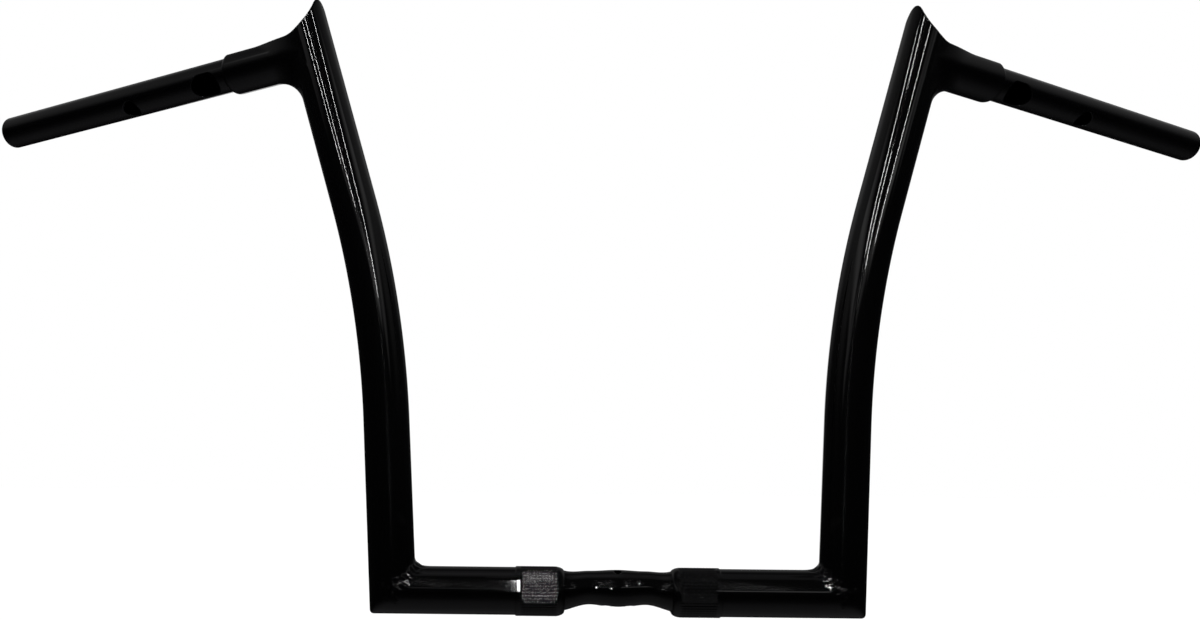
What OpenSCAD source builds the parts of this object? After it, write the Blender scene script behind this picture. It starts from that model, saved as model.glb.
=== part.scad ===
// Tall motorcycle handlebar with pointed risers, a welded steel tube frame.
// The origin is the middle of the crossbar, on the axis of its clamp sleeves. X runs along the
// crossbar, Z points up the risers, and the control tubes sweep back towards +Y.

/* [Tubes] */
// Outer diameter of the crossbar, riser and collar tubes
main_d = 31.75; // [29:0.25:36]
// Wall of the crossbar, riser and collar tubes
main_wall = 3.05; // [2:0.05:3.5]
// Outer diameter of the control tubes
control_d = 25.4; // [22:0.2:26]
// Wall of the control tubes
control_wall = 3.05; // [2:0.05:4]

/* [Crossbar] */
// Distance between the feet of the two risers, axis to axis
foot_spacing = 304; // [270:1:340]
// Distance between the middles of the two clamp sleeves
clamp_spacing = 105; // [95:1:125]
// Width of each clamp sleeve
clamp_w = 33; // [26:1:40]
// Outer diameter of the clamp sleeves
clamp_d = 33; // [32:0.25:38]
// Width of the rounded shoulder at the inner end of each sleeve
shoulder_w = 7; // [3:0.5:10]
// Length of the spigot that centres each sleeve in its crossbar tube
spigot_len = 18; // [8:1:30]
// Bore for the wires through the sleeves and the neck
wire_bore_d = 16; // [10:0.5:17]

/* [Neck] */
// Diameter of the neck in its middle
neck_mid_d = 23.8; // [22:0.1:24.5]
// Diameter of the neck at its two waists
neck_waist_d = 22.3; // [20.5:0.1:23.5]
// Distance of each waist from the middle
neck_waist_x = 19; // [14:0.5:24]
// Diameter of the neck where it meets a sleeve
neck_end_d = 26.4; // [24.5:0.1:28]
// Height of the neck's axis above the axis of the sleeves
neck_lift = 2.0; // [0:0.1:2.5]
// Diameter of the small hole in the top of the neck
neck_hole_d = 5; // [3:0.5:8]
// Turn of that hole from straight up towards the front
neck_hole_turn = 20; // [0:5:40]
// Length of the wiring exit in the underside of the neck
exit_len = 24; // [16:1:32]
// Width of the wiring exit in the underside of the neck
exit_w = 12; // [8:0.5:14]

/* [Risers] */
// Outward lean of the risers at their feet
foot_lean = 3.5; // [0:0.5:8]
// Outward lean of the risers at their tops
top_lean = 16.4; // [10:0.2:22]
// Height at which the bend starts
bend_start = 113.5; // [80:0.5:150]
// Height at which the bend ends
bend_end = 268; // [220:1:300]

/* [Arms] */
// Height at which the axis of a control tube crosses the axis of its riser
arm_height = 377; // [340:1:420]
// Backward sweep of the control tubes, seen from above
arm_sweep = 28.4; // [10:0.2:40]
// Downward slope of the control tubes
arm_droop = 3.5; // [0:0.5:10]
// Length from the riser's axis to the end of the control tube
arm_len = 313; // [280:1:360]
// Length from the riser's axis to the end of the collar
collar_len = 78; // [65:1:90]
// Length over which the collar's end is rounded off
collar_round = 4.5; // [2:0.5:8]
// Depth of the control tube inside its collar
socket_depth = 40; // [20:1:45]
// Depth of the turned step with which the control tube enters its collar
socket_step = 0.4; // [0.3:0.1:1]
// Play between a tube and the bore that it sits in, on each side
play = 0.06; // [0.02:0.01:0.15]
// Hole through the side of the riser for the wires
wire_pass_d = 19; // [12:0.5:22]
// Chamfer on the open end of a control tube
end_chamfer = 1; // [0.3:0.1:1.5]

/* [Peak] */
// Height of the point above the arm's axis, square to that axis
peak_h = 37; // [32:0.5:50]
// Radius of the hollow between the point and the collar
hollow_r = 16; // [12:0.5:22]
// Slope at which the hollow runs up to the point
hollow_slope = 76; // [60:1:82]

/* [Wiring holes] */
// Distance of the large hole from the riser's axis
big_hole_at = 94; // [90:1:120]
// Length of the large hole along the tube
big_hole_len = 25; // [20:0.5:30]
// Width of the large hole
big_hole_w = 17.5; // [12:0.5:19]
// Turn of the large hole from straight up towards the front
big_hole_turn = 120; // [90:1:150]
// Distance of the small hole from the riser's axis
small_hole_at = 171; // [150:1:200]
// Diameter of the small hole
small_hole_d = 14; // [8:0.5:16]
// Turn of the small hole from straight up towards the front
small_hole_turn = 147; // [90:1:180]

/* [Welds] */
// Fillet radius under the collar
arm_fillet = 18; // [8:0.5:24]
// Fillet radius in the lower corners
corner_fillet = 7; // [3:0.5:12]
// Fillet radius where a weld runs out
fillet_end = 1.5; // [0.5:0.1:3]

/* [Hidden] */
$fn = 96;

gloss_black = [0.03, 0.03, 0.032];
weld_black = [0.06, 0.06, 0.065];

main_r = main_d / 2;
main_bore_r = main_r - main_wall;
control_r = control_d / 2;
socket_r = control_r - socket_step;
collar_bore_r = socket_r + play;
foot_x = foot_spacing / 2;
sleeve_in = clamp_spacing / 2 - clamp_w / 2;
sleeve_out = clamp_spacing / 2 + clamp_w / 2;
corner_angle = 90 + foot_lean;

// The bend is one arc, tangent to the straight foot and to the straight top.
bend_r = (bend_end - bend_start) / (sin(top_lean) - sin(foot_lean));
bend_x = foot_x + bend_start * tan(foot_lean);
bend_end_x = bend_x + bend_r * (cos(foot_lean) - cos(top_lean));
arm_x = bend_end_x + (arm_height - bend_end) * tan(top_lean);
top_len = (arm_height - bend_end) / cos(top_lean) + peak_h * 1.3;

// Angle between the riser and the arm, and the arm frame's turn that lays the riser in its XZ plane.
arm_cos = sin(top_lean) * cos(arm_droop) * cos(arm_sweep) - cos(top_lean) * sin(arm_droop);
arm_angle = acos(arm_cos);
arm_twist = asin(sin(top_lean) * sin(arm_sweep) / sin(arm_angle));

// The peak's outline in the arm frame: the point, the end of the straight and the hollow's centre.
peak_x = peak_h / tan(arm_angle) - main_r / sin(arm_angle);
hollow_z = main_r + hollow_r;
straight_z = hollow_z - hollow_r * cos(hollow_slope);
straight_x = peak_x + (peak_h - straight_z) / tan(hollow_slope);
hollow_x = straight_x + hollow_r * sin(hollow_slope);
far = 4 * main_d;
seam = 0.05;
lap = 2;
seat = 0.05;

// Blend of a value from its middle to its end, for t from 0 to 1.
function ease(t) = t * t * (3 - 2 * t);

// Radius and axis height of the neck at the distance x from the middle.
function neck_t(x) = (abs(x) - neck_waist_x) / (sleeve_in - neck_waist_x);
function neck_r(x) = abs(x) < neck_waist_x
    ? (neck_mid_d + neck_waist_d) / 4 + (neck_mid_d - neck_waist_d) / 4 * cos(180 * x / neck_waist_x)
    : neck_waist_d / 2 + (neck_end_d - neck_waist_d) / 2 * pow(neck_t(x), 2);
function neck_z(x) = abs(x) < neck_waist_x ? neck_lift : neck_lift * (1 - 0.7 * ease(neck_t(x)));

module left() { mirror([1, 0, 0]) children(); }
module along_x() { rotate([0, 90, 0]) children(); }

// Closed skin over rings of points that all have the same number of points.
module skin(rings) {
    n = len(rings[0]);
    m = len(rings);
    sides = [for (i = [0:m - 2], j = [0:n - 1])
             [i * n + j, i * n + (j + 1) % n, (i + 1) * n + (j + 1) % n, (i + 1) * n + j]];
    polyhedron([for (ring = rings, point = ring) point],
               concat([[for (j = [n - 1:-1:0]) j]], sides, [[for (j = [0:n - 1]) (m - 1) * n + j]]),
               convexity = 6);
}

// The pinched neck between the sleeves, with its bore, the small top hole and the wiring exit.
module center_neck() {
    sides = 40;
    steps = 28;
    color(gloss_black) difference() {
        skin([for (i = [0:steps]) let (x = sleeve_in * (2 * i / steps - 1))
              [for (j = [0:sides - 1]) let (a = 360 * j / sides)
               [x, neck_r(x) * cos(a), neck_z(x) + neck_r(x) * sin(a)]]]);
        translate([-sleeve_in - 1, 0, neck_lift / 2]) along_x()
            cylinder(r = wire_bore_d / 2, h = 2 * sleeve_in + 2);
        translate([0, 0, neck_lift]) rotate([neck_hole_turn, 0, 0])
            cylinder(d = neck_hole_d, h = neck_mid_d);
        translate([0, 0, -neck_mid_d]) slot(exit_len, exit_w, neck_mid_d);
    }
}

// A straight slot along X with round ends.
module slot(length, width, height) {
    for (side = [-1, 1]) translate([side * (length - width) / 2, 0, 0]) cylinder(d = width, h = height);
    translate([-(length - width) / 2, -width / 2, 0]) cube([length - width, width, height]);
}

// A turned sleeve: rounded shoulder, clamp band, and the spigot inside the crossbar tube.
module clamp_sleeve() {
    arc = 8;
    drop = clamp_d / 2 - neck_end_d / 2;
    profile = concat(
        [[wire_bore_d / 2, sleeve_in]],
        [for (i = [0:arc]) let (a = 90 * i / arc)
         [neck_end_d / 2 + drop * sin(a), sleeve_in + shoulder_w * (1 - cos(a))]],
        [[clamp_d / 2, sleeve_out - 0.6], [clamp_d / 2 - 0.4, sleeve_out],
         [main_bore_r - play, sleeve_out], [main_bore_r - play, sleeve_out + spigot_len],
         [wire_bore_d / 2, sleeve_out + spigot_len]]);
    color(gloss_black) rotate([0, 90, 0]) rotate_extrude() polygon(profile);
}

// Half space on the riser's side of the lower mitre, in the crossbar's frame.
module mitre_block(side) {
    translate([foot_x, 0, 0]) rotate([0, -corner_angle / 2 + foot_lean, 0])
        translate([side > 0 ? 0 : -far, -far / 2, -far / 2]) cube(far);
}

// A crossbar tube from its sleeve to the mitre under the riser.
module cross_tube() {
    length = foot_x + 2 * main_d - sleeve_out;
    color(gloss_black) difference() {
        translate([sleeve_out, 0, 0]) along_x() difference() {
            cylinder(r = main_r, h = length);
            translate([0, 0, -1]) cylinder(r = main_bore_r, h = length + 2);
        }
        mitre_block(1);
    }
}

// The riser's run at one radius, drawn about the bend's centre: straight foot, bend and straight top.
// The bend is a hair thicker than the straights that lap into it, so that the seams stay clean.
module riser_run(r, extra) {
    bend = top_lean - foot_lean;
    translate([bend_x + bend_r * cos(foot_lean), 0, bend_start - bend_r * sin(foot_lean)])
        rotate([0, 180 + top_lean, 0]) union() {
            rotate([90, 0, 0]) rotate_extrude(angle = bend) translate([bend_r, 0]) circle(r = r + seam);
            translate([bend_r, 0, -top_len - extra]) cylinder(r = r, h = top_len + extra + lap);
            rotate([0, -bend, 0]) translate([bend_r, 0, -lap])
                cylinder(r = r, h = bend_start / cos(foot_lean) + 2 * main_d + extra + lap);
        }
}

// Places its children at the crossing of arm and riser, with X out along the arm.
module arm_frame(twist = 0) {
    translate([arm_x, 0, arm_height]) rotate([twist, arm_droop, arm_sweep]) children();
}

// What the hollow cut takes away above the arm, grown by a thickness.
module hollow_cut(grow) {
    arc = 14;
    r = hollow_r + grow;
    profile = concat(
        [[straight_x - grow * sin(hollow_slope) - far * cos(hollow_slope),
          straight_z - grow * cos(hollow_slope) + far * sin(hollow_slope)]],
        [for (i = [0:arc]) let (a = 90 - hollow_slope * (1 - i / arc))
         [hollow_x - r * cos(a), hollow_z - r * sin(a)]],
        [[far, main_r - grow], [far, far]]);
    arm_frame(arm_twist) rotate([90, 0, 0]) linear_extrude(height = far, center = true) polygon(profile);
}

// A bent riser tube, mitred at its foot, cut for its cap at the top and open towards the collar.
module riser() {
    color(gloss_black) difference() {
        riser_run(main_r, 0);
        riser_run(main_bore_r, 1);
        mitre_block(-1);
        hollow_cut(main_wall);
        arm_frame() along_x() cylinder(d = wire_pass_d, h = main_d);
    }
}

// The cap that closes the cut top of a riser and forms its point.
module peak_cap() {
    color(gloss_black) difference() {
        intersection() {
            translate([bend_end_x, 0, bend_end]) rotate([0, top_lean, 0]) cylinder(r = main_r, h = top_len);
            hollow_cut(main_wall);
        }
        hollow_cut(0);
    }
}

// The collar: a stub of main tube, coped to the riser and rounded off at its outer end.
module collar() {
    arc = 6;
    drop = main_r - control_r - 0.3;
    profile = concat(
        [[collar_bore_r, 0], [main_r, 0]],
        [for (i = [0:arc]) let (a = 90 * i / arc)
         [main_r - drop * (1 - cos(a)), collar_len - collar_round * (1 - sin(a))]],
        [[collar_bore_r, collar_len]]);
    color(gloss_black) difference() {
        arm_frame() along_x() rotate_extrude() polygon(profile);
        translate([bend_end_x, 0, bend_end]) rotate([0, top_lean, 0])
            cylinder(r = main_r + seat, h = 2 * top_len);
    }
}

// A control tube with its two wiring holes, open at both ends.
module control_tube() {
    start = collar_len - socket_depth;
    bore_r = control_r - control_wall;
    color(gloss_black) arm_frame() difference() {
        along_x() rotate_extrude() polygon([
            [bore_r, start], [socket_r, start], [socket_r, collar_len + seam],
            [control_r, collar_len + seam], [control_r, arm_len - end_chamfer],
            [control_r - end_chamfer, arm_len], [bore_r, arm_len]]);
        translate([big_hole_at, 0, 0]) rotate([big_hole_turn, 0, 0]) slot(big_hole_len, big_hole_w, control_d);
        translate([small_hole_at, 0, 0]) rotate([small_hole_turn, 0, 0])
            cylinder(d = small_hole_d, h = control_d);
    }
}

// Weld fillet in the crotch of two equal tubes that cross at an angle. One tube runs along +X and the
// other in the XZ plane. A ball rolls along both tubes, and its radius eases out towards the sides.
module weld_fillet(angle, radius, reach) {
    steps = 22;
    arc = 8;
    r = main_r + seat;
    other = [cos(angle), 0, sin(angle)];
    color(weld_black) skin([for (i = [0:steps])
        let (turn = reach * (2 * i / steps - 1),
             ball = radius + (fillet_end - radius) * ease(abs(turn) / reach),
             middle = [(r + ball) * cos(turn) / tan(angle / 2), (r + ball) * sin(turn), (r + ball) * cos(turn)],
             to_one = [0, -sin(turn), -cos(turn)],
             to_other = ((middle * other) * other - middle) / (r + ball),
             span = acos(min(1, to_one * to_other)))
        concat([[r * cos(turn) / tan(angle / 2), r * sin(turn), r * cos(turn)]],
               [for (j = [0:arc]) let (t = j / arc)
                middle + ball * (to_one * sin((1 - t) * span) + to_other * sin(t * span)) / sin(span)])]);
}

module corner_weld() {
    translate([foot_x, 0, 0]) mirror([1, 0, 0]) weld_fillet(corner_angle, corner_fillet, 72);
}

module arm_weld() {
    arm_frame(arm_twist) mirror([0, 0, 1]) weld_fillet(180 - arm_angle, arm_fillet, 76);
}

center_neck();
left() clamp_sleeve();  // clamp_sleeve_left
clamp_sleeve();  // clamp_sleeve_right
left() cross_tube();  // cross_tube_left
cross_tube();  // cross_tube_right
left() corner_weld();  // corner_weld_left
corner_weld();  // corner_weld_right
left() riser();  // riser_left
riser();  // riser_right
left() peak_cap();  // peak_cap_left
peak_cap();  // peak_cap_right
left() collar();  // collar_left
collar();  // collar_right
left() arm_weld();  // arm_weld_left
arm_weld();  // arm_weld_right
left() control_tube();  // control_tube_left
control_tube();  // control_tube_right
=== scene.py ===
"""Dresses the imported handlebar: smooth tube skins, blended joints, knurled sleeves, weld beads and stage."""
import math
from types import SimpleNamespace
import bpy
import numpy as np
from bpy.props import FloatProperty, FloatVectorProperty, PointerProperty
from mathutils import Matrix, Vector


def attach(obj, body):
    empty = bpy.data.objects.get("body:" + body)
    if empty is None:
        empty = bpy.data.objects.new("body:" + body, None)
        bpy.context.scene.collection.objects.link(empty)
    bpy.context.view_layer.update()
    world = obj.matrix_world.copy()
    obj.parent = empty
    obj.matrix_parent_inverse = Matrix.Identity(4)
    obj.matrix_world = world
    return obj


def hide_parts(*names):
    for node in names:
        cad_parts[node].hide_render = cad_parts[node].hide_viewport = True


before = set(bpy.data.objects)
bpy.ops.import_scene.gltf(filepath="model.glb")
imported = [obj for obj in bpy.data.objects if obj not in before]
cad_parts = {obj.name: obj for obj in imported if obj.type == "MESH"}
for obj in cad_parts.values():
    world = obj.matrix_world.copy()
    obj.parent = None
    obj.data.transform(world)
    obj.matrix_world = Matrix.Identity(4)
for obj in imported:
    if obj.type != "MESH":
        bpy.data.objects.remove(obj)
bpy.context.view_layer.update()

bl_info = {
    "name": "Motorcycle handlebar",
    "version": (1, 0, 0),
    "blender": (4, 5, 0),
    "location": "View3D > Sidebar > Handlebar",
    "description": "Gloss black handlebar with pointed risers, its joints, knurling and studio stage",
    "category": "Object",
}

MM = 0.001  # a millimetre in metres
TINY = 1e-9  # keeps divisions from zero
FLATTEST = 1e-6  # least squared slope that a step to a surface divides by
SIDES = (("left", -1.0), ("right", 1.0))  # each side's word and the sign of its X
BODY = "root"
GLOSS_COAT, KNURL_COAT = "gloss_coat", "knurl_coat"


def length(name, description, default, low, high):
    """A length property, given in millimetres and kept in metres."""
    return FloatProperty(name=name, description=description, default=default * MM, min=low * MM, max=high * MM,
                         unit="LENGTH", precision=5)


def angle(name, description, default):
    """An angle property, given in degrees and kept in radians."""
    return FloatProperty(name=name, description=description, default=math.radians(default), subtype="ANGLE")


class BarSizes(bpy.types.PropertyGroup):
    """Sizes of the tube frame."""

    main_r: length("Main tube radius", "Outer radius of crossbar, risers and collars", 15.875, 14, 18)
    control_r: length("Control tube radius", "Outer radius of the control tubes", 12.7, 11, 13)
    control_bore_r: length("Control tube bore", "Inner radius of the control tubes", 9.65, 8, 11)
    foot_x: length("Foot distance", "Distance of a riser's foot from the middle", 152.0, 135, 170)
    foot_lean: angle("Foot lean", "Lean of a riser's foot", 3.5)
    top_lean: angle("Top lean", "Lean of a riser's top", 16.4)
    bend_start: length("Bend start", "Height where the bend starts", 113.5, 80, 150)
    bend_end: length("Bend end", "Height where the bend ends", 268.0, 220, 300)
    arm_height: length("Arm height", "Height where arm and riser cross", 377.0, 340, 420)
    arm_sweep: angle("Arm sweep", "Backward sweep of the arms", 28.4)
    arm_droop: angle("Arm droop", "Downward slope of the arms", 3.5)
    arm_len: length("Arm length", "Length from the riser's axis to the end of an arm", 313.0, 280, 360)
    collar_len: length("Collar length", "Length from the riser's axis to the collar's end", 74.5, 65, 90)
    sleeve_in: length("Sleeve start", "Distance of a clamp sleeve's inner end from the middle", 36.0, 30, 45)
    sleeve_out: length("Sleeve end", "Distance of a clamp sleeve's outer end from the middle", 69.0, 60, 75)
    sleeve_r: length("Sleeve radius", "Outer radius of the clamp sleeves", 16.5, 16, 19)


class CoatLooks(bpy.types.PropertyGroup):
    """Colours and finish of the powder coat."""

    black: FloatVectorProperty(name="Coat black", description="Colour of the powder coat", subtype="COLOR",
                               size=3, default=(0.0003, 0.0003, 0.0004), min=0, max=1)
    shine: FloatProperty(name="Coat roughness", description="Roughness of the powder coat", default=0.045,
                         min=0, max=1, subtype="FACTOR")
    floor: FloatVectorProperty(name="Floor white", description="Colour of the studio floor", subtype="COLOR",
                               size=3, default=(0.8, 0.8, 0.8), min=0, max=1)


def own_properties(group):
    """The properties that a group adds to the two that every group has."""
    return [prop for prop in group.bl_rna.properties if prop.identifier not in ("rna_type", "name")]


def sizes():
    """The bar's sizes as plain numbers, in millimetres and degrees."""
    kept = bpy.context.scene.bar_sizes
    plain = {}
    for prop in own_properties(kept):
        value = getattr(kept, prop.identifier)
        plain[prop.identifier] = round(math.degrees(value) if prop.unit == "ROTATION" else value / MM, 4)
    return SimpleNamespace(**plain)


def looks():
    """The coat's and the floor's looks."""
    return bpy.context.scene.coat_looks


# ---------------------------------------------------------------- geometry of the frame

def bend_path(s):
    """The riser's run: the bend's radius, from the heights of its ends over the difference of their leans' sines,
    and x at its start, at its end and where the arm crosses."""
    foot, top = math.radians(s.foot_lean), math.radians(s.top_lean)
    radius = (s.bend_end - s.bend_start) / (math.sin(top) - math.sin(foot))
    start_x = s.foot_x + s.bend_start * math.tan(foot)
    end_x = start_x + radius * (math.cos(foot) - math.cos(top))
    cross_x = end_x + (s.arm_height - s.bend_end) * math.tan(top)
    return radius, start_x, end_x, cross_x


def riser_axis(s, z):
    """Point and direction of the riser's axis at the heights z: a line, an arc and a line, tangent in turn."""
    foot, top = math.radians(s.foot_lean), math.radians(s.top_lean)
    radius, start_x, end_x, _ = bend_path(s)
    lean = np.arcsin(np.clip(math.sin(foot) + (z - s.bend_start) / radius, math.sin(foot), math.sin(top)))
    x = np.where(z < s.bend_start, start_x + (z - s.bend_start) * math.tan(foot),
                 np.where(z > s.bend_end, end_x + (z - s.bend_end) * math.tan(top),
                          start_x + radius * (math.cos(foot) - np.cos(lean))))
    point = np.stack([x, 0 * x, z], -1)
    direction = np.stack([np.sin(lean), 0 * x, np.cos(lean)], -1)
    return point, direction


def arm_axes(s):
    """Where arm and riser cross, the arm frame's axes as rows (along the arm, across it, and up in the plane of
    arm and riser), and the angle between arm and riser."""
    sweep, droop = math.radians(s.arm_sweep), math.radians(s.arm_droop)
    top = math.radians(s.top_lean)
    cross = np.array([bend_path(s)[3], 0.0, s.arm_height])
    along = np.array([math.cos(sweep) * math.cos(droop), math.sin(sweep) * math.cos(droop), -math.sin(droop)])
    riser = np.array([math.sin(top), 0.0, math.cos(top)])
    up = riser - (riser @ along) * along
    up /= np.linalg.norm(up)
    across = np.cross(up, along)
    return cross, np.stack([along, across, up]), math.acos(float(riser @ along))


# ---------------------------------------------------------------- meshes

def new_object(name, points, faces, normals=None, smooth=True):
    """A mesh object at the origin from points in millimetres, with faces and their point normals."""
    mesh = bpy.data.meshes.new(name)
    mesh.from_pydata((np.asarray(points) * MM).tolist(), [], np.asarray(faces).tolist())
    mesh.polygons.foreach_set("use_smooth", np.full(len(mesh.polygons), smooth))
    mesh.update()
    if normals is not None:
        mesh.normals_split_custom_set_from_vertices(np.asarray(normals).tolist())
    obj = bpy.data.objects.new(name, mesh)
    bpy.context.scene.collection.objects.link(obj)
    return obj


def grid_faces(rows, columns):
    """Quads of a grid of points, rows by columns, closed round its columns."""
    row = np.arange(rows - 1)[:, None] * columns
    a = row + np.arange(columns)
    b = row + np.roll(np.arange(columns), -1)
    return np.stack([a, b, b + columns, a + columns], -1).reshape(-1, 4)


def turned(x, radius, turn):
    """Surface turned about X: (x, r cos t, r sin t), with a row for each x and a column for each t. The same
    sum carries normals, with their parts along X and away from it."""
    return np.stack([x[:, None] + 0 * turn, radius * np.cos(turn), radius * np.sin(turn)], -1)


def full_turn(count):
    """Angles round a tube, without the last, which is the first again."""
    return np.linspace(0, 2 * np.pi, count, endpoint=False)


def mirrored(points, faces, side, normals=None):
    """The same surface on the left for side -1: X changes sign and the faces turn round."""
    if side > 0:
        return points, faces, normals
    turn = np.array([-1.0, 1.0, 1.0])
    return points * turn, faces[:, ::-1], None if normals is None else normals * turn


def iso_surface(field, low, high, cell, newton_steps=4):
    """Surface where field is 0 in a box, by surface nets: one point in each cubic cell that it crosses, at the
    mean of the crossings on the cell's edges, moved onto the surface by Newton steps. Returns points, quads
    and unit gradients. Faces point to where field grows."""
    low, high = np.asarray(low, float), np.asarray(high, float)
    count = np.maximum(np.ceil((high - low) / cell).astype(int), 2)
    axes = [low[k] + cell * np.arange(count[k] + 1) for k in range(3)]
    values = np.empty(count + 1)
    for i in range(count[0] + 1):
        y, z = np.meshgrid(axes[1], axes[2], indexing="ij")
        values[i] = field(np.stack([np.full_like(y, axes[0][i]), y, z], -1))
    inside = values < 0
    total = np.zeros(tuple(count) + (3,))
    hits = np.zeros(tuple(count))
    crossings = []
    for k in range(3):
        cut_a = [slice(None)] * 3
        cut_b = [slice(None)] * 3
        cut_a[k], cut_b[k] = slice(0, -1), slice(1, None)
        va, vb = values[tuple(cut_a)], values[tuple(cut_b)]
        cross = inside[tuple(cut_a)] != inside[tuple(cut_b)]
        where = np.argwhere(cross)
        place = where.astype(float)
        place[:, k] += va[cross] / (va[cross] - vb[cross])
        crossings.append((k, where, inside[tuple(cut_a)][cross]))
        others = [m for m in range(3) if m != k]
        for da in (0, -1):
            for db in (0, -1):
                idx = where.copy()
                idx[:, others[0]] += da
                idx[:, others[1]] += db
                ok = np.all((idx >= 0) & (idx < count), axis=1)
                np.add.at(total, tuple(idx[ok].T), place[ok])
                np.add.at(hits, tuple(idx[ok].T), 1)
    number = -np.ones(tuple(count), int)
    used = hits > 0
    number[used] = np.arange(used.sum())
    points = low + cell * total[used] / hits[used][:, None]
    quads = []
    for k, where, starts_inside in crossings:
        u, v = [(1, 2), (2, 0), (0, 1)][k]
        corner = []
        good = np.ones(len(where), bool)
        for du, dv in ((-1, -1), (0, -1), (0, 0), (-1, 0)):
            idx = where.copy()
            idx[:, u] += du
            idx[:, v] += dv
            good &= np.all((idx >= 0) & (idx < count), axis=1)
            corner.append(idx)
        face = np.stack([number[tuple(np.where(good[:, None], c, 0).T)] for c in corner], -1)
        face = np.where(starts_inside[:, None], face, face[:, ::-1])
        quads.append(face[good])
    quads = np.concatenate(quads)
    for _ in range(newton_steps):
        slope = gradient(field, points)
        step = field(points) / np.maximum((slope ** 2).sum(-1), FLATTEST)
        points = points - np.clip(step, -cell, cell)[:, None] * slope
    slope = gradient(field, points)
    return points, quads, slope / np.maximum(np.linalg.norm(slope, axis=-1, keepdims=True), TINY)


def gradient(field, points, step=0.02):
    """Central differences of a field."""
    shift = np.eye(3) * step
    return np.stack([(field(points + e) - field(points - e)) / (2 * step) for e in shift], -1)


def rolled_union(a, b, cosine, radius):
    """Union of two distance fields with the fillet that a ball of that radius leaves as it rolls along the
    corner. cosine is that of the angle between the two surfaces' normals, so the fillet thins out to
    nothing where they run side by side."""
    da, db = radius - a, radius - b
    rolls = (da > cosine * db) & (db > cosine * da)
    squared = np.maximum(da * da + db * db - 2 * cosine * da * db, 0) / np.maximum(1 - cosine ** 2, TINY)
    return np.where(rolls, radius - np.sqrt(squared), np.minimum(a, b))


def round_cut(a, b, radius):
    """Field a without field b's inside, its edge rounded by an arc: the distance from the arc's centre, less
    its radius."""
    corner = np.hypot(np.maximum(radius + a, 0), np.maximum(radius - b, 0))
    return np.minimum(-radius, np.maximum(a, -b)) + corner


def smooth_step(x):
    """0 up to 0, 1 from 1 on, and 3 x^2 - 2 x^3 between them."""
    x = np.clip(x, 0, 1)
    return x * x * (3 - 2 * x)


# ---------------------------------------------------------------- peaks, collars and risers, in millimetres

ARM_FILLET = 28.0  # ball that rolls in the corner of riser and collar
FILLET_BEHIND, FILLET_FADE = 5.0, 9.0  # where the fillet sets in behind the riser's axis, and over what length
HOLLOW_R, HOLLOW_DIP = 22.5, 3.3  # radius of the hollow arc, and how deep it cuts the collar's top
RUN_X, RUN_SLOPE = -7.6, 84.5  # where the arc turns into the straight run up to the tip, and the run's slope
HOLLOW_EDGE, TIP_EDGE = 0.7, 1.5  # rounding of the cut's edge at the collar and at the tip
EDGE_ABOVE, EDGE_FADE = 1.0, 9.0  # height above the collar where that rounding starts to grow, and over what length
COLLAR_ROUND = 4.5  # rounding of the collar's end
TUBE_FROM = 20.0  # start of the control tube inside the collar
JOINT_BEHIND, JOINT_BESIDE, JOINT_BELOW, JOINT_ABOVE, JOINT_PAST = 30.0, 20.0, 74.0, 48.0, 6.0  # the skin's box
JOINT_CELL = 0.9
JOINT_LAP, CORNER_LAP, SLEEVE_LAP = 8.0, 4.0, 1.0  # how far a tube's skin runs on inside its neighbours
RING_TUCK = 0.03  # how much its last ring draws in, so that it stays hidden there
TUBE_TURNS, STRAIGHT_RINGS, BEND_RINGS = 160, 8, 60


def joint_field(s):
    """Distance field of the joint in the arm frame: riser and collar with a fillet between them, the hollow
    cut out of them by a straight run and an arc, and the collar's rounded end on the control tube."""
    _, _, crossing = arm_axes(s)
    riser = np.array([math.cos(crossing), 0.0, math.sin(crossing)])
    slope = math.radians(RUN_SLOPE)
    centre_x, centre_z = RUN_X + HOLLOW_R * math.sin(slope), s.main_r - HOLLOW_DIP + HOLLOW_R
    run_z = centre_z - HOLLOW_R * math.cos(slope)

    def field(p):
        x, y, z = p[..., 0], p[..., 1], p[..., 2]
        from_riser = p - (p @ riser)[..., None] * riser
        riser_r = np.sqrt((from_riser ** 2).sum(-1))
        arm_r = np.hypot(y, z)
        past_end, past_wall = x - s.collar_len + COLLAR_ROUND, arm_r - s.main_r + COLLAR_ROUND
        d_collar = (np.hypot(np.maximum(past_end, 0), np.maximum(past_wall, 0)) - COLLAR_ROUND
                    + np.minimum(np.maximum(past_end, past_wall), 0))
        d_tube = np.maximum(arm_r - s.control_r, TUBE_FROM - x)
        d_arm = np.minimum(np.maximum(d_collar, -x), d_tube)
        d_riser = riser_r - s.main_r
        cosine = (from_riser[..., 1] * y + from_riser[..., 2] * z) / np.maximum(riser_r * arm_r, TINY)
        joined = rolled_union(d_riser, d_arm, np.clip(cosine, -1, 1), ARM_FILLET)
        share = smooth_step((from_riser[..., 0] + FILLET_BEHIND) / FILLET_FADE)
        solid = np.minimum(d_riser, d_arm) * (1 - share) + joined * share
        disc = np.hypot(x - centre_x, z - centre_z) - HOLLOW_R
        over_collar = np.maximum(centre_z - HOLLOW_R - z, centre_x - x)
        beside_run = (RUN_X - x) * math.sin(slope) + (run_z - z) * math.cos(slope)
        hollow = np.minimum(np.minimum(disc, over_collar), np.maximum(beside_run, run_z - z))
        grown = smooth_step((z - s.main_r - EDGE_ABOVE) / EDGE_FADE)
        return round_cut(solid, hollow, HOLLOW_EDGE + (TIP_EDGE - HOLLOW_EDGE) * grown)

    return field


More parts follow.
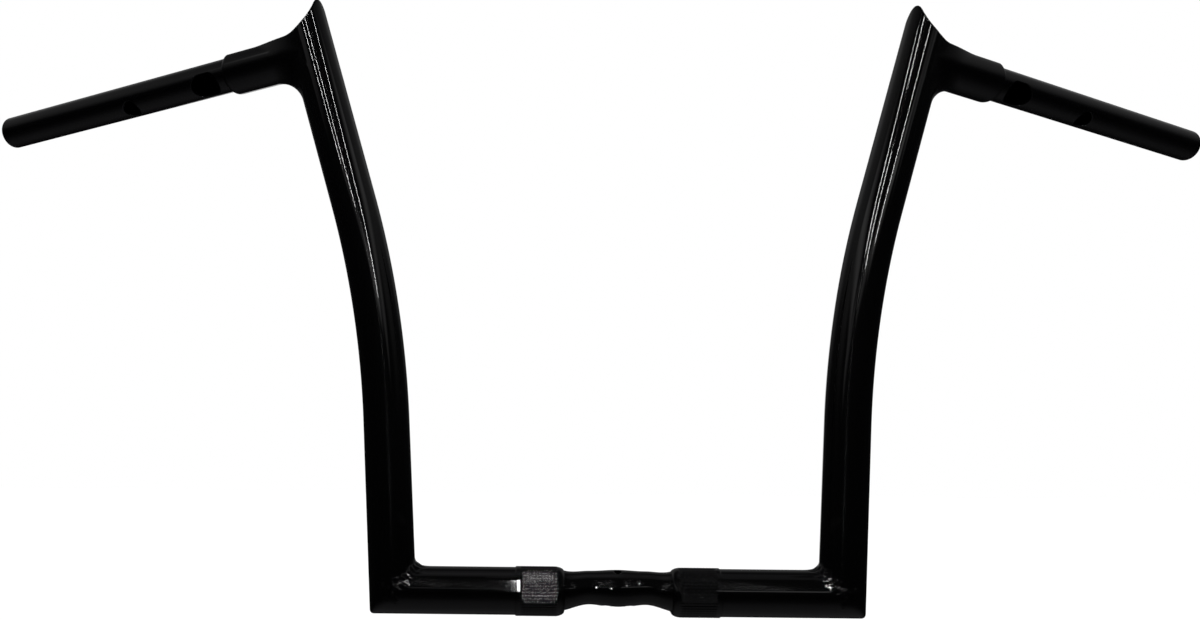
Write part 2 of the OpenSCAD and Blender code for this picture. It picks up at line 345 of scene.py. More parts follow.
def build_joint(s, name, side):
    """Skin of the joint's field in its box of the arm frame, carried to the bar: crossing + point @ axes."""
    cross, axes, _ = arm_axes(s)
    low = (-JOINT_BEHIND, -JOINT_BESIDE, -JOINT_BELOW)
    high = (s.collar_len + JOINT_PAST, JOINT_BESIDE, JOINT_ABOVE)
    points, quads, normals = iso_surface(joint_field(s), low, high, JOINT_CELL)
    return new_object(name, *mirrored(cross + points @ axes, quads, side, normals @ axes))


def build_riser(s, name, side):
    """Tube round the riser's axis from the corner to the joint: axis(z) + r (cos t side + sin t Y), with its
    rings square to the axis."""
    top = s.arm_height - (JOINT_BELOW - JOINT_LAP)
    z = np.concatenate([np.linspace(CORNER_REACH - CORNER_LAP, s.bend_start, STRAIGHT_RINGS)[:-1],
                        np.linspace(s.bend_start, s.bend_end, BEND_RINGS)[:-1],
                        np.linspace(s.bend_end, top, STRAIGHT_RINGS)])
    turn = full_turn(TUBE_TURNS)
    point, direction = riser_axis(s, z)
    side_dir = np.stack([direction[:, 2], 0 * z, -direction[:, 0]], -1)
    ring = (np.cos(turn)[None, :, None] * side_dir[:, None, :]
            + np.sin(turn)[None, :, None] * np.array([0.0, 1.0, 0.0]))
    radius = np.full(len(z), s.main_r)
    radius[[0, -1]] -= RING_TUCK
    surface = point[:, None, :] + radius[:, None, None] * ring
    faces = grid_faces(len(z), TUBE_TURNS)
    return new_object(name, *mirrored(surface.reshape(-1, 3), faces, side, ring.reshape(-1, 3)))


# ---------------------------------------------------------------- crossbar tubes and corners, in millimetres

CROSS_RINGS = 12
CORNER_REACH = 34.0  # how far the corner's skin runs along crossbar and riser
CORNER_OUT, CORNER_BESIDE, CORNER_BELOW, CORNER_CELL = 20.0, 20.0, 19.0, 0.8  # the rest of its box, and its cell
CORNER_FILLET = 6.5  # ball that rolls inside the corner
CORNER_ROUND, CORNER_NEAR = 2.6, 8.0  # rounding of the mitre's outer edge, and how far from the mitre it acts
BEAD_HEIGHT, BEAD_WIDTH = 0.85, 3.4
RIPPLE_MEAN, RIPPLE_FINE, RIPPLE_LONG = 0.5, 0.3, 0.2  # shares of the bead's height
FINE_TURN, FINE_BOW = 0.55, 0.08  # fine ripples: waves for each degree round the mitre, and how they bow across it
LONG_TURN, LONG_SLANT = 0.23, 1.1  # long ripples: the same, and how they slant
BEAD_TO, BEAD_FADE = 78.0, 26.0  # turn from the corner's inside where the bead starts to fade, and over what turn
MITRE_FLAT = 0.72  # how much the mitre's ellipse is flattened to a circle, for that turn


def build_cross_tube(s, name, side):
    """Tube turned about X from the clamp sleeve to the corner."""
    x = np.linspace(s.sleeve_out - SLEEVE_LAP, s.foot_x - CORNER_REACH + CORNER_LAP, CROSS_RINGS)
    radius = np.full((CROSS_RINGS, 1), s.main_r)
    radius[-1] -= RING_TUCK
    turn = full_turn(TUBE_TURNS)
    surface, normals = turned(x, radius, turn), turned(0 * x, np.ones_like(radius), turn)
    faces = grid_faces(CROSS_RINGS, TUBE_TURNS)
    return new_object(name, *mirrored(surface.reshape(-1, 3), faces, side, normals.reshape(-1, 3)))


def corner_field(s):
    """Distance field of the mitred corner with its weld: crossbar and riser on their own sides of the mitre
    plane, a rolled fillet inside the corner, the outer edge rounded, and a bead along the mitre. The bead is a
    bell curve across the mitre, with ripples from two cosines of the turn round it."""
    foot = math.radians(s.foot_lean)
    up = np.array([math.sin(foot), 0.0, math.cos(foot)])
    half = (math.pi / 2 - foot) / 2
    plane = np.array([-math.sin(half), 0.0, -math.cos(half)])
    inner = np.array([-math.cos(half), 0.0, math.sin(half)])
    corner = np.array([s.foot_x, 0.0, 0.0])

    def field(p):
        q = p - corner
        y, z = q[..., 1], q[..., 2]
        from_riser = q - (q @ up)[..., None] * up
        riser_r, cross_r = np.sqrt((from_riser ** 2).sum(-1)), np.hypot(y, z)
        d_cross, d_riser = cross_r - s.main_r, riser_r - s.main_r
        beside, inward = q @ plane, q @ inner
        mitred = np.where(beside > 0, d_cross, d_riser)
        cosine = (from_riser[..., 1] * y + from_riser[..., 2] * z) / np.maximum(riser_r * cross_r, TINY)
        weld = rolled_union(d_cross, d_riser, np.clip(cosine, -1, 1), CORNER_FILLET)
        weld = np.where((z > 0) & (from_riser[..., 0] < 0), weld, mitred)
        edge = np.hypot(np.maximum(d_cross + CORNER_ROUND, 0), np.maximum(d_riser + CORNER_ROUND, 0)) - CORNER_ROUND
        near = (np.abs(beside) < CORNER_NEAR) & (np.minimum(d_cross, d_riser) > -CORNER_ROUND)
        solid = np.where(inward > 0, np.minimum(mitred, weld), np.where(near, edge, mitred))
        turn = np.degrees(np.arctan2(np.abs(y), inward * MITRE_FLAT))
        bead = (np.exp(-(beside / BEAD_WIDTH) ** 2) * (1 - smooth_step((turn - BEAD_TO) / BEAD_FADE))
                * (inward > -CORNER_NEAR))
        ripple = (RIPPLE_MEAN + RIPPLE_FINE * np.cos(FINE_TURN * turn + FINE_BOW * beside ** 2)
                  + RIPPLE_LONG * np.cos(LONG_TURN * turn + LONG_SLANT * beside + 1.0))
        return solid - BEAD_HEIGHT * bead * ripple

    return field


def build_corner(s, name, side):
    """Skin of the corner's field."""
    low = (s.foot_x - CORNER_REACH, -CORNER_BESIDE, -CORNER_BELOW)
    high = (s.foot_x + CORNER_OUT, CORNER_BESIDE, CORNER_REACH)
    points, quads, normals = iso_surface(corner_field(s), low, high, CORNER_CELL)
    return new_object(name, *mirrored(points, quads, side, normals))


# ---------------------------------------------------------------- control tubes, in millimetres

# distance from the riser's axis, length, width, and turn from straight up towards the front, in degrees
BIG_HOLE = (94.0, 25.0, 17.5, 132.0)
SMALL_HOLE = (171.0, 14.0, 14.0, 147.0)
HOLE_EDGE = 0.7  # rounding of the holes' edges
TUBE_SPLIT = 190.0  # end of the holed stretch
TUBE_LAP = 2.0  # how far the holed stretch runs into the collar, and the plain one into the holed
TUBE_BOX, TUBE_CELL = 14.0, 0.75
PLAIN_TURNS, PLAIN_RINGS, LIP_RINGS = 128, 20, 13


def tube_field(s):
    """Distance field of the control tube, with X along it and Z up: a shell less two slots that run through its
    wall, with rounded edges. A slot's field is that of a line segment, less half the slot's width."""
    def field(p):
        x, y, z = p[..., 0], p[..., 1], p[..., 2]
        around = np.hypot(y, z)
        shell = np.maximum(around - s.control_r, s.control_bore_r - around)
        for at, long, wide, turn in (BIG_HOLE, SMALL_HOLE):
            a = math.radians(turn)
            out = z * math.cos(a) - y * math.sin(a)
            across = y * math.cos(a) + z * math.sin(a)
            hole = np.hypot(np.maximum(np.abs(x - at) - (long - wide) / 2, 0), across) - wide / 2
            shell = round_cut(shell, np.maximum(hole, -out), HOLE_EDGE)
        return shell

    return field


def build_control_tube(s, name, side):
    """Holed stretch from its field, and the plain stretch as a turned profile with a rounded open end."""
    swept = Matrix.Rotation(math.radians(s.arm_sweep), 3, "Z") @ Matrix.Rotation(math.radians(s.arm_droop), 3, "Y")
    cross, axes = arm_axes(s)[0], np.array(swept).T
    low, high = (s.collar_len - TUBE_LAP, -TUBE_BOX, -TUBE_BOX), (TUBE_SPLIT, TUBE_BOX, TUBE_BOX)
    holed, quads, normals = iso_surface(tube_field(s), low, high, TUBE_CELL)
    lip = 0.5 * (s.control_r - s.control_bore_r)
    along = np.linspace(TUBE_SPLIT - TUBE_LAP, s.arm_len - lip, PLAIN_RINGS)
    a = np.linspace(0, np.pi, LIP_RINGS)[1:-1]
    profile = np.concatenate([
        np.stack([along, np.full(PLAIN_RINGS, s.control_r)], -1),
        np.stack([s.arm_len - lip + lip * np.sin(a), s.control_r - lip + lip * np.cos(a)], -1),
        np.stack([along[::-1], np.full(PLAIN_RINGS, s.control_bore_r)], -1)])
    slope = np.gradient(profile, axis=0)
    slope[:PLAIN_RINGS], slope[-PLAIN_RINGS:] = (1, 0), (-1, 0)
    slope /= np.linalg.norm(slope, axis=1, keepdims=True)
    turn = full_turn(PLAIN_TURNS)
    plain = turned(profile[:, 0], profile[:, 1:], turn).reshape(-1, 3)
    plain_normals = turned(-slope[:, 1], slope[:, :1], turn).reshape(-1, 3)
    points = cross + np.concatenate([holed, plain]) @ axes
    faces = np.concatenate([quads, grid_faces(len(profile), PLAIN_TURNS) + len(holed)])
    return new_object(name, *mirrored(points, faces, side, np.concatenate([normals, plain_normals]) @ axes))


# ---------------------------------------------------------------- clamp sleeves and neck, in millimetres

SHOULDER_R, SHOULDER, SHOULDER_RINGS = 13.2, 7.0, 14  # radius at the sleeve's inner end, and its rounded shoulder
CHAMFER, CHAMFER_DEEP = 0.6, 0.4
FACE_R_LESS = 0.5  # how far the sleeve's outer face runs in below the crossbar's skin
SLEEVE_RINGS, SLEEVE_TURNS = 160, 528
KNURL_FROM, KNURL_TO, KNURL_FADE = 4.5, 66.0, 1.5  # start from the sleeve's inner end, end from the middle
RIDGES, RIDGE_DEEP = 48, 0.40  # number round the sleeve, and depth
CUT_PITCH, CUT_DEEP = 2.1, 0.05


def build_sleeve(s, name, side):
    """Turned sleeve: r(x) with a quarter-ellipse shoulder and a chamfered end, less a knurl of cosine ridges along
    it, d (1 - cos n t) / 2, and of shallow cuts across them that wind round it once for each ridge."""
    quarter = np.linspace(0, np.pi / 2, SHOULDER_RINGS)[:-1]
    x = np.concatenate([s.sleeve_in + SHOULDER * (1 - np.cos(quarter)),
                        np.linspace(s.sleeve_in + SHOULDER, s.sleeve_out - CHAMFER, SLEEVE_RINGS),
                        [s.sleeve_out, s.sleeve_out]])
    radius = np.concatenate([SHOULDER_R + (s.sleeve_r - SHOULDER_R) * np.sin(quarter),
                             np.full(SLEEVE_RINGS, s.sleeve_r),
                             [s.sleeve_r - CHAMFER_DEEP, s.main_r - FACE_R_LESS]])
    turn = full_turn(SLEEVE_TURNS)
    band = smooth_step((x - s.sleeve_in - KNURL_FROM) / KNURL_FADE) * smooth_step((KNURL_TO - x) / KNURL_FADE)
    ridges = 0.5 - 0.5 * np.cos(RIDGES * turn)
    cuts = 0.5 - 0.5 * np.cos(2 * np.pi * x[:, None] / CUT_PITCH + RIDGES * turn)
    r = radius[:, None] - band[:, None] * (RIDGE_DEEP * ridges + CUT_DEEP * cuts)
    points, faces, _ = mirrored(turned(x, r, turn).reshape(-1, 3), grid_faces(len(x), SLEEVE_TURNS), side)
    return new_object(name, points, faces)


NECK_WAIST, NECK_FLARE, FLARE_END = 19.0, 17.0, 1.2  # the waists' place, the flare's length, and where it stops
NECK_R, NECK_SWELL = 11.875, 0.725  # mean radius and swell between the waists
WAIST_R, FLARE_GROWTH = 11.15, 2.05  # radius at the waists, and what it gains over the flare
NECK_LIFT, WAIST_LIFT, FLARE_SETTLES = 2.0, 0.7, 0.75  # lift of the middle, more at the waists, and its loss outwards
BORE_R, BORE_LIFT = 8.0, 1.0
TOP_HOLE_R, TOP_HOLE_TURN, TOP_HOLE_Z = 2.5, 20.0, 2.0  # turned from straight up towards the front
EXIT_HALF_LONG, EXIT_HALF_WIDE = 6.0, 4.4  # straight part and end radius of the exit below
BORE_EDGE, TOP_HOLE_EDGE, EXIT_EDGE = 0.3, 0.5, 1.0
NECK_PAST, NECK_BESIDE, NECK_ABOVE, NECK_CELL = 0.5, 15.0, 17.0, 0.75


def neck_profile(x):
    """Radius and axis height of the neck: a cosine between the waists, then a flare that widens with the square."""
    t = np.clip((np.abs(x) - NECK_WAIST) / NECK_FLARE, 0, FLARE_END)
    middle = NECK_R + NECK_SWELL * np.cos(np.pi * x / NECK_WAIST)
    flare = WAIST_R + FLARE_GROWTH * t ** 2
    lift = ((NECK_LIFT + WAIST_LIFT * smooth_step(np.abs(x) / NECK_WAIST))
            * (1 - FLARE_SETTLES * smooth_step(t)))
    return np.where(np.abs(x) < NECK_WAIST, middle, flare), lift


def neck_field(p):
    """Distance field of the neck: its turned skin, less the wire bore, the top hole and the exit below."""
    x, y, z = p[..., 0], p[..., 1], p[..., 2]
    radius, lift = neck_profile(x)
    skin = np.hypot(y, z - lift) - radius
    bore = np.hypot(y, z - BORE_LIFT) - BORE_R
    a, up = math.radians(TOP_HOLE_TURN), z - TOP_HOLE_Z
    hole = np.hypot(x, y * math.cos(a) + up * math.sin(a)) - TOP_HOLE_R
    hole = np.maximum(hole, -(up * math.cos(a) - y * math.sin(a)))
    leave = np.maximum(np.hypot(np.maximum(np.abs(x) - EXIT_HALF_LONG, 0), y) - EXIT_HALF_WIDE, z)
    skin = round_cut(round_cut(skin, bore, BORE_EDGE), hole, TOP_HOLE_EDGE)
    return round_cut(skin, leave, EXIT_EDGE)


def build_neck(s, name):
    """Skin of the neck's field, open at both ends, inside the sleeves."""
    end = s.sleeve_in + NECK_PAST
    low, high = (-end, -NECK_BESIDE, -NECK_BESIDE), (end, NECK_BESIDE, NECK_ABOVE)
    return new_object(name, *iso_surface(neck_field, low, high, NECK_CELL))


# ---------------------------------------------------------------- materials

PEEL_SCALE, PEEL_DEPTH, PEEL_BUMP = 900.0, 0.00005, 0.03  # noise scale per metre, depth in metres, strength
HAZE_SCALE, HAZE_SPREAD = 24.0, 0.2  # slow change of the gloss, and its share of the roughness
COAT_IOR, PEEL_DETAIL, KNURL_ROUGH = 1.5, 2.0, 0.06


def speckle_group():
    """Fine orange peel of a powder coat, as a height, and a slow change of its gloss."""
    group = bpy.data.node_groups.new("coat_peel", "ShaderNodeTree")
    group.interface.new_socket("Scale", in_out="INPUT", socket_type="NodeSocketFloat")
    group.interface.new_socket("Height", in_out="OUTPUT", socket_type="NodeSocketFloat")
    group.interface.new_socket("Haze", in_out="OUTPUT", socket_type="NodeSocketFloat")
    n = group.nodes
    start, end = n.new("NodeGroupInput"), n.new("NodeGroupOutput")
    where = n.new("ShaderNodeTexCoord")
    peel, haze = n.new("ShaderNodeTexNoise"), n.new("ShaderNodeTexNoise")
    peel.inputs["Detail"].default_value = PEEL_DETAIL
    haze.inputs["Scale"].default_value = HAZE_SCALE
    group.links.new(where.outputs["Object"], peel.inputs["Vector"])
    group.links.new(where.outputs["Object"], haze.inputs["Vector"])
    group.links.new(start.outputs["Scale"], peel.inputs["Scale"])
    group.links.new(peel.outputs["Fac"], end.inputs["Height"])
    group.links.new(haze.outputs["Fac"], end.inputs["Haze"])
    return group


def coat_material(name, group, rough):
    """Gloss black powder coat: orange peel as bump, and a roughness that drifts a little."""
    mat = bpy.data.materials.new(name)
    mat.use_nodes = True
    n, links = mat.node_tree.nodes, mat.node_tree.links
    shader = n["Principled BSDF"]
    shader.inputs["Base Color"].default_value = (*looks().black, 1)
    shader.inputs["IOR"].default_value = COAT_IOR
    speckle = n.new("ShaderNodeGroup")
    speckle.node_tree = group
    speckle.inputs["Scale"].default_value = PEEL_SCALE
    span = n.new("ShaderNodeMapRange")
    span.inputs["To Min"].default_value = rough * (1 - HAZE_SPREAD)
    span.inputs["To Max"].default_value = rough * (1 + HAZE_SPREAD)
    bump = n.new("ShaderNodeBump")
    bump.inputs["Strength"].default_value = PEEL_BUMP
    bump.inputs["Distance"].default_value = PEEL_DEPTH
    links.new(speckle.outputs["Haze"], span.inputs["Value"])
    links.new(span.outputs["Result"], shader.inputs["Roughness"])
    links.new(speckle.outputs["Height"], bump.inputs["Height"])
    links.new(bump.outputs["Normal"], shader.inputs["Normal"])
    return mat


def dress(obj, material, *nodes):
    """Gives a finished piece its material, its body and the CAD nodes that it stands for."""
    obj.data.materials.append(bpy.data.materials[material])
    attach(obj, BODY)
    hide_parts(*nodes)


# ---------------------------------------------------------------- operators

class HANDLEBAR_OT_coats(bpy.types.Operator):
    """Makes the powder coat's materials and gives them to the CAD nodes"""

    bl_idname = "handlebar.coats"
    bl_label = "Powder coat"

    def execute(self, context):
        group = speckle_group()
        gloss = coat_material(GLOSS_COAT, group, looks().shine)
        coat_material(KNURL_COAT, group, KNURL_ROUGH)
        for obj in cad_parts.values():
            for slot in obj.material_slots:
                slot.material = gloss
        return {"FINISHED"}


class HANDLEBAR_OT_risers(bpy.types.Operator):
    """Builds the bent risers"""

    bl_idname = "handlebar.risers"
    bl_label = "Risers"

    def execute(self, context):
        for word, side in SIDES:
            dress(build_riser(sizes(), f"riser_skin_{word}", side), GLOSS_COAT, f"riser_{word}")
        return {"FINISHED"}


class HANDLEBAR_OT_joints(bpy.types.Operator):
    """Builds the blended joints of riser, peak and collar"""

    bl_idname = "handlebar.joints"
    bl_label = "Peaks and collars"

    def execute(self, context):
        for word, side in SIDES:
            dress(build_joint(sizes(), f"arm_joint_{word}", side), GLOSS_COAT,
                  f"peak_cap_{word}", f"collar_{word}", f"arm_weld_{word}")
        return {"FINISHED"}


class HANDLEBAR_OT_control_tubes(bpy.types.Operator):
    """Builds the control tubes with their wiring holes"""

    bl_idname = "handlebar.control_tubes"
    bl_label = "Control tubes"

    def execute(self, context):
        for word, side in SIDES:
            dress(build_control_tube(sizes(), f"control_skin_{word}", side), GLOSS_COAT,
                  f"control_tube_{word}")
        return {"FINISHED"}


class HANDLEBAR_OT_crossbar(bpy.types.Operator):
    """Builds the crossbar tubes, the clamp sleeves, the neck and the corner welds"""

    bl_idname = "handlebar.crossbar"
    bl_label = "Crossbar"

    def execute(self, context):
        s = sizes()
        for word, side in SIDES:
            dress(build_cross_tube(s, f"cross_skin_{word}", side), GLOSS_COAT, f"cross_tube_{word}")
            dress(build_sleeve(s, f"knurled_sleeve_{word}", side), KNURL_COAT, f"clamp_sleeve_{word}")
            dress(build_corner(s, f"welded_corner_{word}", side), GLOSS_COAT, f"corner_weld_{word}")
        dress(build_neck(s, "neck_skin"), GLOSS_COAT, "center_neck")
        return {"FINISHED"}


# ---------------------------------------------------------------- stage

CAMERA_PLACE = (-0.07597, -0.83045, 0.07635)  # in metres, from the fit to the tubes' edges
CAMERA_LOOK, CAMERA_RIGHT = (0.0, 0.99049, 0.13762), (0.99994, -0.00149, 0.01075)
CAMERA_LENS, CAMERA_SENSOR, CAMERA_SHIFT = 36.0, 36.0, 0.0766
FLOOR_LEVEL, FLOOR_REACH = -60.0, 9000.0  # in millimetres
FLOOR_LIFT = 0.25  # light that the floor adds for the camera alone
LAMP_STRIPS = (
    # x and z under the object's middle, growth of x and of z for each metre towards the viewer, near and far
    # end, all in metres, and the number of lamps
    (-0.260, 1.064, 0.059, -0.217, 0.55, 1.68, 44),
    (0.118, 0.926, 0.208, -0.205, 0.40, 1.60, 52),
    (-0.739, 1.443, 0.0, -0.21, 0.62, 2.55, 48),
)
STRIP_STRENGTH, STRIP_HALF_WIDTH, STRIP_LIT = 100.0, 0.0065, 0.6  # half width for each metre away, and share lit
SOFT_BARS = (
    # two ends as azimuth (0 towards the viewer, + to the right) and elevation, half width, all in degrees, strength
    (40, 17, 68, 33, 7.0, 0.42),
    (-42, 19, -70, 31, 7.5, 0.45),
    (-42, 11, -30, 15, 5.0, 0.22),
    (24, 18, 36, 12, 5.0, 0.22),
    (72, 26, 135, 34, 22.0, 0.12),
    (-72, 26, -135, 34, 22.0, 0.12),
    (-14, 14, 9, 14, 3.0, 0.30),
    (9, 14, 22, 14, 4.0, 0.8),
    (150, 30, -150, 30, 32.0, 0.14),
)
# the dark room's level by height, from 0 straight down to 1 straight up
ROOM_LEVELS = ((0.0, 0.11), (0.03, 0.11), (0.12, 0.08), (0.19, 0.04), (0.265, 0.016), (0.37, 0.006), (0.5, 0.009),
               (0.587, 0.02), (0.67, 0.03), (0.787, 0.025), (0.91, 0.03), (0.957, 0.04), (0.9755, 0.10),
               (0.9925, 0.12), (1.0, 0.2))
ROOM_BLUE = 1.04  # blue of the room, for each share of its level
BACKDROP_EDGE, BACKDROP_FULL = 14.0, 9.0  # half angles of the white backdrop's cone, in degrees
# dark cards in front of the crossbar: low and high x, and y of the front, in millimetres
FLAGS = ((-142.0, -90.0, -175.0), (-34.0, 34.0, -270.0), (36.0, 142.0, -175.0))
FLAG_BACK, FLAG_LEVEL, FLAG_GLOW = -24.0, 52.0, 0.03  # y of their backs, their height, and their faint light
# upright lamp for the clamp pads: its middle, half width and half height, and strength
PAD_LAMP, PAD_LAMP_HALF, PAD_LAMP_STRENGTH = (-55.0, -640.0, 460.0), (4.0, 440.0), 110.0
# a door on each side of it, which keeps it off the risers: x and half depth
BARN_DOORS, DOOR_GLOW = ((-62.0, 60.0), (-49.0, 35.0)), 0.01


def card(name, middle, half_wide, half_high, strength):
    """Flat four-sided lamp of the stage, from its middle and two half sides in millimetres."""
    middle, u, v = (np.array(vector, float) for vector in (middle, half_wide, half_high))
    corners = np.stack([middle - u - v, middle + u - v, middle + u + v, middle - u + v])
    glow(new_object(name, corners, np.array([[0, 1, 2, 3]]), smooth=False), strength)


def glow(obj, strength):
    """Makes a staged object a lamp that only reflections show."""
    mat = bpy.data.materials.new(obj.name)
    mat.use_nodes = True
    shader = mat.node_tree.nodes["Principled BSDF"]
    shader.inputs["Base Color"].default_value = (0, 0, 0, 1)
    shader.inputs["Specular IOR Level"].default_value = 0.0
    shader.inputs["Emission Color"].default_value = (1, 1, 1, 1)
    shader.inputs["Emission Strength"].default_value = strength
    obj.data.materials.append(mat)
    obj.visible_camera = obj.visible_shadow = obj.visible_diffuse = False


def lamp_strip(name, x, z, slide, drop, near, far, count):
    """Row of small flat lamps that runs towards the viewer, spaced in a geometric series so that their mirror
    images on a riser lie evenly. They are seen only in reflections."""
    away = near * (far / near) ** ((np.arange(count)[:, None] + np.array([0.0, STRIP_LIT])) / count)
    away = away[:, [0, 1, 1, 0]]
    wide = STRIP_HALF_WIDTH * away * np.array([-1.0, -1.0, 1.0, 1.0])
    points = np.stack([x + slide * away + wide, -away, z + drop * away], -1)
    faces = np.arange(count * 4).reshape(-1, 4)
    glow(new_object(name, points.reshape(-1, 3) / MM, faces, smooth=False), STRIP_STRENGTH)


def heading(azimuth, elevation):
    """Unit vector of a direction in the room."""
    az, el = math.radians(azimuth), math.radians(elevation)
    return Vector((math.sin(az) * math.cos(el), -math.cos(az) * math.cos(el), math.sin(el)))


class HANDLEBAR_OT_stage(bpy.types.Operator):
    """Builds the camera, floor, world light, lamps and dark cards"""

    bl_idname = "handlebar.stage"
    bl_label = "Studio stage"

    def execute(self, context):
        scene = context.scene
        scene.view_settings.view_transform = "Standard"
        self.camera(scene)
        self.world(scene)
        self.floor()
        for k, strip in enumerate(LAMP_STRIPS):
            lamp_strip(f"lamp_strip_{k + 1}", *strip)
        for k, (low, high, front) in enumerate(FLAGS):
            card(f"flag_{k + 1}", ((low + high) / 2, (front + FLAG_BACK) / 2, FLAG_LEVEL),
                 ((high - low) / 2, 0, 0), (0, (FLAG_BACK - front) / 2, 0), FLAG_GLOW)
        half_wide, half_high = PAD_LAMP_HALF
        card("pad_lamp", PAD_LAMP, (half_wide, 0, 0), (0, 0, half_high), PAD_LAMP_STRENGTH)
        _, lamp_y, lamp_z = PAD_LAMP
        for k, (x, deep) in enumerate(BARN_DOORS):
            card(f"barn_door_{k + 1}", (x, lamp_y + deep, lamp_z), (0, deep, 0), (0, 0, lamp_z), DOOR_GLOW)
        return {"FINISHED"}

    def camera(self, scene):
        """The photograph's view."""
        camera = bpy.data.cameras.new("photo_view")
        camera.lens, camera.sensor_width, camera.sensor_fit = CAMERA_LENS, CAMERA_SENSOR, "HORIZONTAL"
        camera.shift_x = CAMERA_SHIFT
        camera.clip_start = 0.01
        eye = bpy.data.objects.new("photo_view", camera)
        look = Vector(CAMERA_LOOK)
        up = Vector(CAMERA_RIGHT).cross(look).normalized()
        right = look.cross(up).normalized()
        turn = Matrix((right, up, -look)).transposed().to_4x4()
        eye.matrix_world = Matrix.Translation(CAMERA_PLACE) @ turn
        scene.collection.objects.link(eye)
        scene.camera = eye

    def world(self, scene):
        """White for the camera, an even light for what is matt, and for reflections a dark room with soft
        bars, with the white backdrop behind the object."""
        world = bpy.data.worlds.new("studio")
        scene.world = world
        world.use_nodes = True
        tree = world.node_tree
        n, links = tree.nodes, tree.links
        n.clear()
        where = n.new("ShaderNodeTexCoord").outputs["Generated"]

        def math_node(operation, *values, clamp=False):
            node = n.new("ShaderNodeMath")
            node.operation, node.use_clamp = operation, clamp
            for k, value in enumerate(values):
                if isinstance(value, (int, float)):
                    node.inputs[k].default_value = value
                else:
                    links.new(value, node.inputs[k])
            return node.outputs[0]

        def share_along(vector):
            node = n.new("ShaderNodeVectorMath")
            node.operation = "DOT_PRODUCT"
            links.new(where, node.inputs[0])
            node.inputs[1].default_value = vector
            return node.outputs["Value"]

        def ramp(value, low, high):
            node = n.new("ShaderNodeMapRange")
            node.interpolation_type = "SMOOTHSTEP"
            links.new(value, node.inputs["Value"])
            node.inputs["From Min"].default_value, node.inputs["From Max"].default_value = low, high
            return node.outputs["Result"]

        levels = n.new("ShaderNodeValToRGB")
        stops = levels.color_ramp.elements
        while len(stops) < len(ROOM_LEVELS):
            stops.new(0.5)
        for stop, (place, level) in zip(stops, ROOM_LEVELS):
            stop.position, stop.color = place, (level, level, level * ROOM_BLUE, 1)
        links.new(math_node("MULTIPLY_ADD", share_along((0, 0, 1)), 0.5, 0.5), levels.inputs["Fac"])
        total = 0.0
        for az_a, el_a, az_b, el_b, half_width, strength in SOFT_BARS:
            a, b = heading(az_a, el_a), heading(az_b, el_b)
            middle = (a + b).normalized()
            wide, long = math.radians(half_width), a.angle(middle)
            beside = math_node("ABSOLUTE", share_along(a.cross(b).normalized()))
            lit = math_node("MULTIPLY", ramp(beside, math.sin(wide), 0.0),
                            ramp(share_along(middle), math.cos(long + wide), math.cos(long)))
            total = math_node("ADD", total, math_node("MULTIPLY", lit, strength))
        room = n.new("ShaderNodeMixRGB")
        room.blend_type = "ADD"
        room.inputs["Fac"].default_value = 1.0
        links.new(levels.outputs["Color"], room.inputs[1])
        links.new(total, room.inputs[2])
        path = n.new("ShaderNodeLightPath")
        sheen = math_node("MAXIMUM", path.outputs["Is Glossy Ray"], path.outputs["Is Transmission Ray"])
        behind = ramp(share_along((0, 1, 0)), math.cos(math.radians(BACKDROP_EDGE)),
                      math.cos(math.radians(BACKDROP_FULL)))
        dark = math_node("MULTIPLY", sheen, math_node("SUBTRACT", 1.0, behind))
        white = math_node("SUBTRACT", 1.0, dark, clamp=True)
        light, mix = n.new("ShaderNodeBackground"), n.new("ShaderNodeMixRGB")
        links.new(white, mix.inputs["Fac"])
        links.new(room.outputs["Color"], mix.inputs[1])
        mix.inputs[2].default_value = (1, 1, 1, 1)
        links.new(mix.outputs["Color"], light.inputs["Color"])
        links.new(light.outputs["Background"], n.new("ShaderNodeOutputWorld").inputs["Surface"])

    def floor(self):
        """Matt white floor below the view, which the object shades."""
        points = np.array([[-1.0, -1.0, 0.0], [1.0, -1.0, 0.0], [1.0, 1.0, 0.0], [-1.0, 1.0, 0.0]]) * FLOOR_REACH
        points[:, 2] = FLOOR_LEVEL
        obj = new_object("floor", points, np.array([[0, 1, 2, 3]]), smooth=False)
        mat = bpy.data.materials.new("floor")
        mat.use_nodes = True
        shader = mat.node_tree.nodes["Principled BSDF"]
        shader.inputs["Base Color"].default_value = (*looks().floor, 1)
        shader.inputs["Roughness"].default_value = 1.0
        shader.inputs["Specular IOR Level"].default_value = 0.0
        shader.inputs["Emission Color"].default_value = (1, 1, 1, 1)
        n, links = mat.node_tree.nodes, mat.node_tree.links
        lift = n.new("ShaderNodeMath")
        lift.operation = "MULTIPLY"
        lift.inputs[1].default_value = FLOOR_LIFT
        links.new(n.new("ShaderNodeLightPath").outputs["Is Camera Ray"], lift.inputs[0])
        links.new(lift.outputs[0], shader.inputs["Emission Strength"])
        obj.data.materials.append(mat)
        obj.visible_glossy = False


class HANDLEBAR_PT_panel(bpy.types.Panel):
    """Lists the handlebar's sizes, looks and building steps"""

    bl_label = "Handlebar"
    bl_idname = "HANDLEBAR_PT_panel"
    bl_space_type = "VIEW_3D"
    bl_region_type = "UI"
    bl_category = "Handlebar"

    def draw(self, context):
        for group in (context.scene.bar_sizes, context.scene.coat_looks):
            for prop in own_properties(group):
                self.layout.prop(group, prop.identifier)
        for step in STEPS:
            self.layout.operator(step.bl_idname)


STEPS = (HANDLEBAR_OT_coats, HANDLEBAR_OT_stage, HANDLEBAR_OT_risers, HANDLEBAR_OT_joints,
         HANDLEBAR_OT_control_tubes, HANDLEBAR_OT_crossbar)
CLASSES = (BarSizes, CoatLooks, *STEPS, HANDLEBAR_PT_panel)


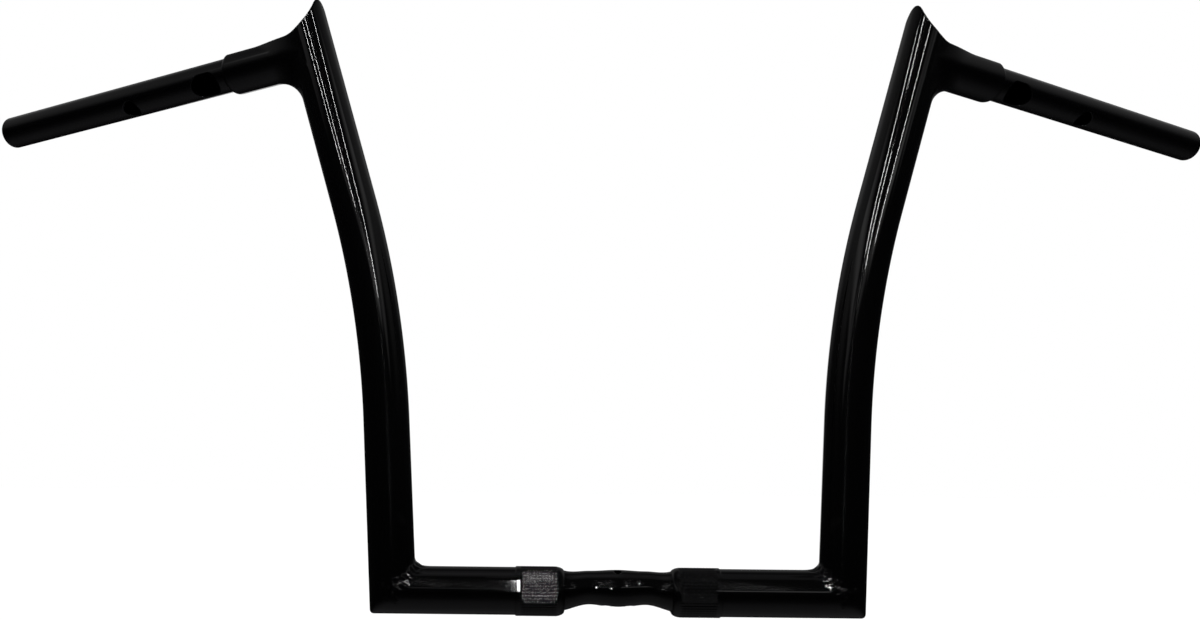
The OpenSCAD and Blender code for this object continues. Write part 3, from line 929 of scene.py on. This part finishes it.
def register():
    """Registers the classes and hangs the two groups of properties on the scene."""
    for cls in CLASSES:
        bpy.utils.register_class(cls)
    bpy.types.Scene.bar_sizes = PointerProperty(type=BarSizes)
    bpy.types.Scene.coat_looks = PointerProperty(type=CoatLooks)


def unregister():
    """Undoes register."""
    del bpy.types.Scene.bar_sizes
    del bpy.types.Scene.coat_looks
    for cls in reversed(CLASSES):
        bpy.utils.unregister_class(cls)


def main():
    register()
    bpy.ops.handlebar.coats()
    bpy.ops.handlebar.stage()
    bpy.ops.handlebar.risers()
    bpy.ops.handlebar.joints()
    bpy.ops.handlebar.control_tubes()
    bpy.ops.handlebar.crossbar()


if __name__ == "__main__":
    main()
